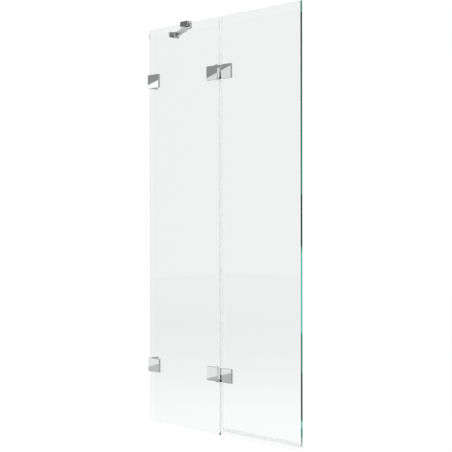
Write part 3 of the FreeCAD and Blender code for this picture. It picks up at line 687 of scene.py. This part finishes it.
@dataclass(frozen=True)
class DoorSeals:
    """Clear seals on the swinging pane: three upright lengths between the hinges and one along the rim.

    Sizes are in millimetres. The veils are shares of what lies behind that the vinyl hides.
    """

    glass_half: float = GLASS_HALF
    play: float = GLASS_PLAY
    wall: float = 0.9
    bend: float = 0.4
    tip: float = 0.35
    taper: float = 1.5
    side_leg: float = 11.5
    bulb_root: float = -0.6
    bulb_reach: float = 4.0
    bulb_half: float = 3.0
    bulb_wall: float = 0.6
    bulb_points: int = 25
    bulb_margin: float = 0.5
    rim_leg: float = 11.4
    rim_web: float = 2.6
    blade_points: int = 15
    lip_wall: float = 1.1
    lip_thinning: float = 0.45
    lip_bow: float = 1.6
    fin_reach: float = 6.6
    fin_drop: float = 6.1
    fin_degrees: float = 80
    fin_wall: float = 0.6
    fin_depth: float = 0.45
    side_veil: float = 0.075
    rim_veil: float = 0.1

    def channel(self, leg: float, web: float, ends: np.ndarray) -> Grid:
        """Carry a U-shaped channel that hugs the pane's edge.

        The inner line runs down one leg, across the web and up the other, with small round corners;
        the outer line is the same at the wall's distance, with a deeper web where that is asked for,
        and both legs thin out at their tips.

        Args:
            leg: length of the legs past the pane's edge.
            web: thickness of the web.
            ends: the two ends along the edge.

        Returns:
            Vertices and faces.
        """
        half = self.glass_half + self.play
        corner = self.bend - self.play
        lines = []
        for gap, tip, deeper in ((0.0, 0.0, 0.0), (self.wall, self.tip, web - self.wall)):
            flank = np.array([[leg, half + tip], [leg - self.taper, half + gap], [leg / 2, half + gap]])
            turn = quarter((corner - deeper, half - self.bend), self.bend + gap, 90)
            side = np.concatenate([flank, turn])
            lines.append(np.concatenate([side, side[::-1] * [1, -1]]))
        return carried_wall(lines[0], lines[1], ends)

    def bulb(self, ends: np.ndarray) -> Grid:
        """Carry the hollow bulb that closes the gap between the panes.

        Its section is half an ellipse, reach times cosine and half width times sine of the angle, and
        the same ellipse smaller by the wall.

        Args:
            ends: the two ends along the edge.

        Returns:
            Vertices and faces.
        """
        angle = np.radians(np.linspace(90, 270, self.bulb_points))
        round_line = np.stack([np.cos(angle), np.sin(angle)], axis=1)
        root = np.array([self.bulb_root, 0.0])
        size = np.array([self.bulb_reach, self.bulb_half])
        return carried_wall(root + round_line * (size - self.bulb_wall), root + round_line * size, ends)

    def lip(self, drop: float, ends: np.ndarray) -> Grid:
        """Carry the wiping lip: a blade bowed by a sine squared to the outside, thinner at its foot.

        Args:
            drop: length of the lip below the pane's edge.
            ends: the two ends along the rim.

        Returns:
            Vertices and faces.
        """
        share = np.linspace(0, 1, self.blade_points)
        down = -self.rim_web - share * (drop - self.rim_web)
        bow = -self.lip_bow * np.sin(np.pi * share / 2) ** 2
        half = self.lip_wall * (1 - self.lip_thinning * share) / 2
        outside = np.stack([down, bow - half], axis=1)
        inside = np.stack([down, bow + half], axis=1)
        return carried_wall(outside, inside, ends)

    def fin(self, ends: np.ndarray) -> Grid:
        """Carry the drip fin: a blade on part of an ellipse, drop times cosine and reach times sine.

        Args:
            ends: the two ends along the rim.

        Returns:
            Vertices and faces.
        """
        angle = np.radians(np.linspace(0, self.fin_degrees, self.blade_points))
        line = np.stack([self.fin_drop * (np.cos(angle) - 1), self.fin_reach * np.sin(angle)], axis=1)
        line = line + [-self.rim_web + self.wall, self.glass_half]
        half = self.fin_wall / 2
        return carried_wall(line + [-self.fin_depth, -half], line + [0.0, half], ends)

    def build(self) -> None:
        """Make the seals in place of the plain CAD lengths, dress them and let them ride on the door."""
        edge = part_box("door_glass")[0]
        greyer = ClearVinyl(Along.HEIGHT, self.side_veil, bulb_end=edge.x + self.bulb_margin * MM,
                            tint="#b4b8b6", line_tint="#a6aaa8")
        upright = greyer.build("clear_vinyl_upright")
        for name in ("side_seal_top", "side_seal_middle", "side_seal_bottom"):
            low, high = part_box(name)
            ends = np.array([low.z, high.z]) / MM
            grids = [self.channel(self.side_leg, self.wall, ends), self.bulb(ends)]
            self.fit(surface(f"{name}_profile", grids, (0, 1, 2), Vector((edge.x, 0, 0))), name, upright)
        low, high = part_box("rim_seal")
        ends = np.array([low.x, high.x]) / MM
        drop = (edge.z - low.z) / MM
        grids = [self.channel(self.rim_leg, self.rim_web, ends), self.lip(drop, ends), self.fin(ends)]
        rim = surface("rim_seal_profile", grids, (2, 1, 0), Vector((0, 0, edge.z)))
        paler = ClearVinyl(Along.SCREEN, self.rim_veil)
        self.fit(rim, "rim_seal", paler.build("clear_vinyl_rim"))

    def fit(self, piece: bpy.types.Object, node: str, finish: bpy.types.Material) -> None:
        """Dress a seal, too clear to cast a shadow, and let it stand for its CAD node on the door.

        Args:
            piece: the seal.
            node: name of the CAD node.
            finish: the vinyl.
        """
        dress([piece], finish)
        piece.visible_shadow = False
        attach(piece, Body.DOOR.value)
        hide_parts(node)


@dataclass(frozen=True)
class ClampLiner:
    """Black rubber strip folded over the fixed pane's top inside the stabiliser's clamp, in millimetres."""

    glass_half: float = GLASS_HALF
    play: float = GLASS_PLAY
    back_leg: float = 8.0
    jaw_foot: float = 4.5

    def build(self, finish: bpy.types.Material) -> None:
        """Fold the strip: one leg down the front, over the top and a shorter leg down the back.

        The front leg stops short of the jaw's foot. The section's inner line follows the pane and its
        outer line lies at the strip's thickness from it; both are carried along the clamp's length.

        Args:
            finish: the rubber.
        """
        low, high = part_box("stabiliser_clamp_liner")
        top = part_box("fixed_glass")[1].z
        inner, outer = self.glass_half + self.play, -low.y / MM
        front_leg, cover = (low.z - top) / MM + self.jaw_foot, (high.z - top) / MM
        near = np.array([[front_leg, -inner], [self.play, -inner], [self.play, inner],
                         [-self.back_leg, inner]])
        far = np.array([[front_leg, -outer], [cover, -outer], [cover, outer], [-self.back_leg, outer]])
        strip = carried_wall(near, far, np.array([low.x, high.x]) / MM)
        piece = surface("stabiliser_clamp_liner_fold", [strip], (2, 1, 0), Vector((0, 0, top)))
        dress([piece], finish)
        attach(piece, Body.FIXED.value)
        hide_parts("stabiliser_clamp_liner")


@dataclass(frozen=True)
class MirroredRoom:
    """The room that the chrome mirrors: levels of light by azimuth and elevation, in degrees.

    In front of the screen stand two pale cards with slanting edges between a dark upper half and a grey
    carpet, and beside them, up to the camera, hangs a dark curtain. Everywhere else it is grey, darker
    higher up, with a bright ceiling panel overhead. A pair of values is for the right card and the left.
    """

    cards_meet: float = 40.4
    # Each edge of a card is a line: the slope and the elevation at an azimuth of 0.
    upper_edges: tuple[Line, Line] = ((0.542, -15.597), (0.517, -13.367))
    lower_edges: tuple[Line, Line] = ((0.221, -17.377), (0.278, -18.314))
    card_levels: tuple[float, float] = (1.08, 1.5)
    low_card_level: float = 1.19
    carpet_levels: tuple[float, float] = (0.69, 0.78)
    # The dark upper half falls from the first level to the second between two elevations.
    dark_levels: tuple[float, float] = (0.41, 0.22)
    dark_fall: tuple[float, float] = (8.5, 9.7)
    # The middle azimuth of the cards and of the curtain, and half their widths.
    cards_span: tuple[float, float] = (45.0, 18.0)
    curtain_span: tuple[float, float] = (96.0, 33.0)
    curtain_level: float = 0.26
    half_height: float = 24.0
    # The grey all round, by elevation.
    around: tuple[tuple[float, float], ...] = (
        (-90, 0.55), (-30, 0.6), (-12, 0.64), (12, 0.64), (22, 0.32), (42, 0.32), (50, 1.0), (76, 1.0),
        (90, 0.8),
    )

    def cards(self, tree: bpy.types.NodeTree, azimuth: bpy.types.NodeSocket,
              elevation: bpy.types.NodeSocket) -> bpy.types.NodeSocket:
        """Make what stands in front of the screen.

        Args:
            tree: the world's nodes.
            azimuth: degrees from the wall's side towards the outside.
            elevation: degrees above the horizon.

        Returns:
            The level of light.
        """
        left_card = add_node(tree, "ShaderNodeMath", {"operation": "LESS_THAN"},
                             {0: azimuth, 1: self.cards_meet}).outputs[0]
        edges = []
        for pair in (self.upper_edges, self.lower_edges):
            lines = [add_node(tree, "ShaderNodeMath", {"operation": "MULTIPLY_ADD"},
                              {0: azimuth, 1: slope, 2: start}).outputs[0] for slope, start in pair]
            edge = add_node(tree, "ShaderNodeMix", inputs={
                "Factor": left_card, "A": lines[0], "B": lines[1]})
            edges.append(edge.outputs["Result"])
        above = add_node(tree, "ShaderNodeMath", {"operation": "GREATER_THAN"}, {0: elevation, 1: edges[0]})
        below = add_node(tree, "ShaderNodeMath", {"operation": "LESS_THAN"}, {0: elevation, 1: edges[1]})
        upper = add_node(tree, "ShaderNodeMath", {"operation": "GREATER_THAN"}, {0: elevation, 1: 0.0})
        dark = add_node(tree, "ShaderNodeMapRange", inputs={
            "Value": elevation, "From Min": self.dark_fall[0], "From Max": self.dark_fall[1],
            "To Min": self.dark_levels[0], "To Max": self.dark_levels[1]})
        pale = add_node(tree, "ShaderNodeMix", inputs={
            "Factor": left_card, "A": self.card_levels[0], "B": self.card_levels[1]})
        card = add_node(tree, "ShaderNodeMix", inputs={
            "Factor": upper.outputs[0], "A": self.low_card_level, "B": pale.outputs["Result"]})
        carpet = add_node(tree, "ShaderNodeMix", inputs={
            "Factor": left_card, "A": self.carpet_levels[0], "B": self.carpet_levels[1]})
        low = add_node(tree, "ShaderNodeMix", inputs={
            "Factor": below.outputs[0], "A": card.outputs["Result"], "B": carpet.outputs["Result"]})
        front = add_node(tree, "ShaderNodeMix", inputs={
            "Factor": above.outputs[0], "A": low.outputs["Result"], "B": dark.outputs[0]})
        return front.outputs["Result"]

    def build(self, tree: bpy.types.NodeTree, azimuth: bpy.types.NodeSocket,
              elevation: bpy.types.NodeSocket) -> bpy.types.NodeSocket:
        """Make the room: the grey all round, then the cards and the curtain in their own spans.

        Args:
            tree: the world's nodes.
            azimuth: degrees from the wall's side towards the outside.
            elevation: degrees above the horizon.

        Returns:
            The room's colour.
        """
        share = add_node(tree, "ShaderNodeMapRange", inputs={
            "Value": elevation, "From Min": -90.0, "From Max": 90.0})
        around = add_node(tree, "ShaderNodeValToRGB", inputs={0: share.outputs[0]})
        set_stops(around, [((degrees + 90) / 180, grey(level)) for degrees, level in self.around])
        flat = add_node(tree, "ShaderNodeMath", {"operation": "COMPARE"},
                        {0: elevation, 1: 0.0, 2: self.half_height})
        colour = around.outputs["Color"]
        for (middle, half), level in ((self.cards_span, self.cards(tree, azimuth, elevation)),
                                      (self.curtain_span, grey(self.curtain_level))):
            facing = add_node(tree, "ShaderNodeMath", {"operation": "COMPARE"},
                              {0: azimuth, 1: middle, 2: half})
            inside = add_node(tree, "ShaderNodeMath", {"operation": "MULTIPLY"},
                              {0: facing.outputs[0], 1: flat.outputs[0]})
            colour = add_node(tree, "ShaderNodeMix", {"data_type": "RGBA"}, {
                "Factor": inside.outputs[0], "A": colour, "B": level}).outputs["Result"]
        return colour


@dataclass(frozen=True)
class Studio:
    """Camera at the photograph's view, pale floor, soft light and what the chrome mirrors."""

    eye: tuple[float, float, float] = (3.3703, -2.7196, 0.7803)
    turn: float = 47.235
    tilt: float = -0.428
    roll: float = -0.1
    focal_px: float = 1124.4
    sensor: float = 36.0
    view_depth: float = 100.0
    # Levels of the surroundings, as they light matt things, as the panes mirror them and as they are seen.
    daylight: float = 0.85
    pane_mirrored: float = 0.55
    backdrop: float = 1.0
    lamp_place: tuple[float, float, float] = (1.6, -2.2, 3.0)
    lamp_aim: tuple[float, float, float] = (0.4, 0.0, 0.7)
    lamp_size: tuple[float, float] = (2.4, 1.6)
    lamp_watts: float = 60.0
    floor_side: float = 16.0
    floor_tint: float = 0.9
    floor_glow_share: float = 0.9
    floor_seen: float = 1.03
    # Painted light of the floor seen through the panes: a pool, by distance from the screen's middle.
    pool_middle: tuple[float, float, float] = (0.4, 0.0, 0.0)
    pool_peak: float = 1.14
    painted_light_pool: tuple[tuple[float, float], ...] = (
        (0.2, 1.128), (0.6, 1.105), (1.26, 1.052), (1.81, 1.02), (2.5, 0.998), (3.9, 0.98), (5.0, 0.985),
        (8.0, 0.998),
    )

    def camera(self) -> None:
        """Place the camera: turned from looking along Y, tilted a trace down, with a trace of roll."""
        data = bpy.data.cameras.new("view")
        data.sensor_width = self.sensor
        data.lens = self.focal_px * self.sensor / PHOTO_SIDE
        data.clip_end = self.view_depth
        camera = bpy.data.objects.new("view", data)
        level = Matrix.Rotation(math.radians(self.turn), 4, "Z") @ Matrix.Rotation(
            math.radians(90 + self.tilt), 4, "X")
        camera.matrix_world = (Matrix.Translation(self.eye) @ level
                               @ Matrix.Rotation(math.radians(self.roll), 4, "Z"))
        bpy.context.scene.collection.objects.link(camera)
        bpy.context.scene.camera = camera

    def world(self) -> None:
        """Make the surroundings: white to the eye, a studio room to polished metal."""
        world = bpy.data.worlds.new("studio")
        world.use_nodes = True
        tree = world.node_tree
        tree.nodes.clear()
        rays = add_node(tree, "ShaderNodeLightPath")
        towards = add_node(tree, "ShaderNodeTexCoord").outputs["Generated"]
        away = add_node(tree, "ShaderNodeVectorMath", {"operation": "SCALE"}, {0: towards, "Scale": -1.0})
        back = add_node(tree, "ShaderNodeSeparateXYZ", inputs={0: away.outputs[0]})
        rise = add_node(tree, "ShaderNodeMath", {"operation": "ARCSINE"}, {0: back.outputs["Z"]})
        elevation = add_node(tree, "ShaderNodeMath", {"operation": "MULTIPLY"},
                             {0: rise.outputs[0], 1: -math.degrees(1)})
        bearing = add_node(tree, "ShaderNodeMath", {"operation": "ARCTAN2"},
                           {0: back.outputs["Y"], 1: back.outputs["X"]})
        azimuth = add_node(tree, "ShaderNodeMath", {"operation": "DEGREES"}, {0: bearing.outputs[0]})
        mirrored = MirroredRoom().build(tree, azimuth.outputs[0], elevation.outputs[0])
        shown = add_node(tree, "ShaderNodeMath", {"operation": "MAXIMUM"}, {
            0: rays.outputs["Is Camera Ray"], 1: rays.outputs["Is Transmission Ray"]})
        metal = add_node(tree, "ShaderNodeMix", {"data_type": "RGBA"}, {
            "Factor": rays.outputs["Is Glossy Ray"], "A": grey(self.daylight), "B": mirrored})
        panes = add_node(tree, "ShaderNodeMix", {"data_type": "RGBA"}, {
            "Factor": rays.outputs["Is Singular Ray"], "A": metal.outputs["Result"],
            "B": grey(self.pane_mirrored)})
        seen = add_node(tree, "ShaderNodeMix", {"data_type": "RGBA"}, {
            "Factor": shown.outputs[0], "A": panes.outputs["Result"], "B": grey(self.backdrop)})
        ground = add_node(tree, "ShaderNodeBackground", inputs={"Color": seen.outputs["Result"]})
        add_node(tree, "ShaderNodeOutputWorld", inputs={"Surface": ground.outputs[0]})
        bpy.context.scene.world = world

    def floor(self) -> None:
        """Lay a pale floor at the bath rim, white to the eye and lighter round the screen."""
        half = self.floor_side / 2
        mesh = bpy.data.meshes.new("floor")
        corners = [(-half, -half, 0), (half, -half, 0), (half, half, 0), (-half, half, 0)]
        mesh.from_pydata(corners, [], [(0, 1, 2, 3)])
        floor = bpy.data.objects.new("floor", mesh)
        floor.visible_glossy = False
        bpy.context.scene.collection.objects.link(floor)
        material, tree = new_material("pale_floor")
        spot = add_node(tree, "ShaderNodeTexCoord").outputs["Object"]
        away = add_node(tree, "ShaderNodeVectorMath", {"operation": "DISTANCE"},
                        {0: spot, 1: self.pool_middle})
        share = add_node(tree, "ShaderNodeMath", {"operation": "DIVIDE"},
                         {0: away.outputs["Value"], 1: half})
        # Painted light: a pool, brighter round the screen, that the panes show of the floor.
        painted_light_pool = add_node(tree, "ShaderNodeValToRGB", inputs={0: share.outputs[0]})
        set_stops(painted_light_pool, [(metres / half, grey(level / self.pool_peak)) for metres, level in self.painted_light_pool])
        rays = add_node(tree, "ShaderNodeLightPath")
        tone = add_node(tree, "ShaderNodeMix", {"data_type": "RGBA"}, {
            "Factor": rays.outputs["Is Camera Ray"], "A": painted_light_pool.outputs["Color"],
            "B": grey(self.floor_seen / self.pool_peak)})
        shown = add_node(tree, "ShaderNodeMath", {"operation": "MAXIMUM"}, {
            0: rays.outputs["Is Camera Ray"], 1: rays.outputs["Is Transmission Ray"]})
        lit = add_node(tree, "ShaderNodeBsdfDiffuse", inputs={"Color": grey(self.floor_tint)})
        glow = add_node(tree, "ShaderNodeEmission", inputs={
            "Color": tone.outputs["Result"], "Strength": self.pool_peak})
        weight = add_node(tree, "ShaderNodeMath", {"operation": "MULTIPLY"},
                          {0: shown.outputs[0], 1: self.floor_glow_share})
        both = add_node(tree, "ShaderNodeMixShader", inputs={
            0: weight.outputs[0], 1: lit.outputs[0], 2: glow.outputs[0]})
        add_node(tree, "ShaderNodeOutputMaterial", inputs={"Surface": both.outputs[0]})
        mesh.materials.append(material)

    def lamp(self) -> None:
        """Hang one large soft lamp in front of the screen, high on its open side."""
        data = bpy.data.lights.new("softbox", "AREA")
        data.shape = "RECTANGLE"
        data.size, data.size_y = self.lamp_size
        data.energy = self.lamp_watts
        lamp = bpy.data.objects.new("softbox", data)
        lamp.location = self.lamp_place
        aim = Vector(self.lamp_aim) - Vector(self.lamp_place)
        lamp.rotation_euler = aim.to_track_quat("-Z", "Y").to_euler()
        lamp.visible_glossy = False
        lamp.visible_transmission = False
        bpy.context.scene.collection.objects.link(lamp)

    def build(self) -> None:
        """Set up camera, surroundings, floor and lamp, and plain colour handling."""
        self.camera()
        self.world()
        self.floor()
        self.lamp()
        bpy.context.scene.view_settings.view_transform = "Standard"


def main() -> None:
    """Dress the frame, make the seals and set up the studio."""
    logging.basicConfig(level=logging.INFO, format="%(name)s: %(message)s")
    for obj in list(bpy.data.objects):
        bpy.data.objects.remove(obj)
    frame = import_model()
    nodes = frame["nodes"]
    GlassPanes().build(nodes)
    pins = tuple(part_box(f"{level}_hinge_pin") for level in ("upper", "lower"))
    finishes = {"chrome": PolishedChrome().build(), "leaves": HingeChrome(pins=pins).build(),
                "gaskets": GASKET_SHEET.build(), "steels": TURNED_STEEL.build(),
                "nylons": MOULDED_NYLON.build()}
    for group in (WALL_CLAMPS, GLASS_HINGES, STABILISER):
        group.build(nodes, finishes)
    ClampLiner().build(BLACK_RUBBER.build())
    DoorSeals().build()
    Studio().build()


if __name__ == "__main__":
    main()
